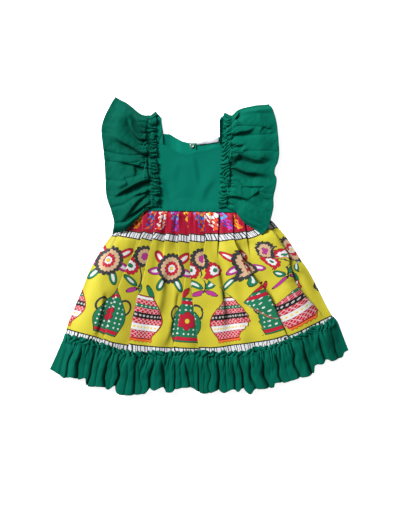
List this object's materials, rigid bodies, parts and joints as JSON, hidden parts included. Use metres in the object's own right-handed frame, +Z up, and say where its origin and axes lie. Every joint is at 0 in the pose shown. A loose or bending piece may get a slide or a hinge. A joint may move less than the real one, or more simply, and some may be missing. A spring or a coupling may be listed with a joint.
{
  "type": "adelita dress",
  "caption": "Child's cotton dress with flutter ruffles at the shoulders, a gathered printed skirt and a hem flounce, laid flat on its back.",
  "frame": {"origin": "middle of the laid-out dress, on the surface that it lies on", "axes": "+Z up from the surface to the front of the dress, +Y from the hem to the shoulders, +X to the right as seen from above"},
  "size_m": [0.6565, 0.6533, 0.0199],
  "materials": {
    "green_cotton": "plain-weave cotton poplin, matt with a faint sheen",
    "green_flounce": "plain-weave cotton poplin, matt with a faint sheen",
    "printed_cotton": "printed plain-weave cotton, matt",
    "white_label": "woven satin tape, blank",
    "pearl_stud": "pearly press stud"
  },
  "bodies": {
    "root": {"bodice_front": "green_cotton", "bodice_back_left": "green_cotton", "bodice_back_right": "green_cotton", "strap_left": "green_cotton", "strap_right": "green_cotton", "flutter_left": "green_cotton", "flutter_right": "green_cotton", "skirt_front": "printed_cotton", "skirt_back": "printed_cotton", "hem_ruffle_front": "green_flounce", "hem_ruffle_back": "green_flounce", "neck_label": "white_label", "back_snap": "pearl_stud"}
  },
  "joints": []
}
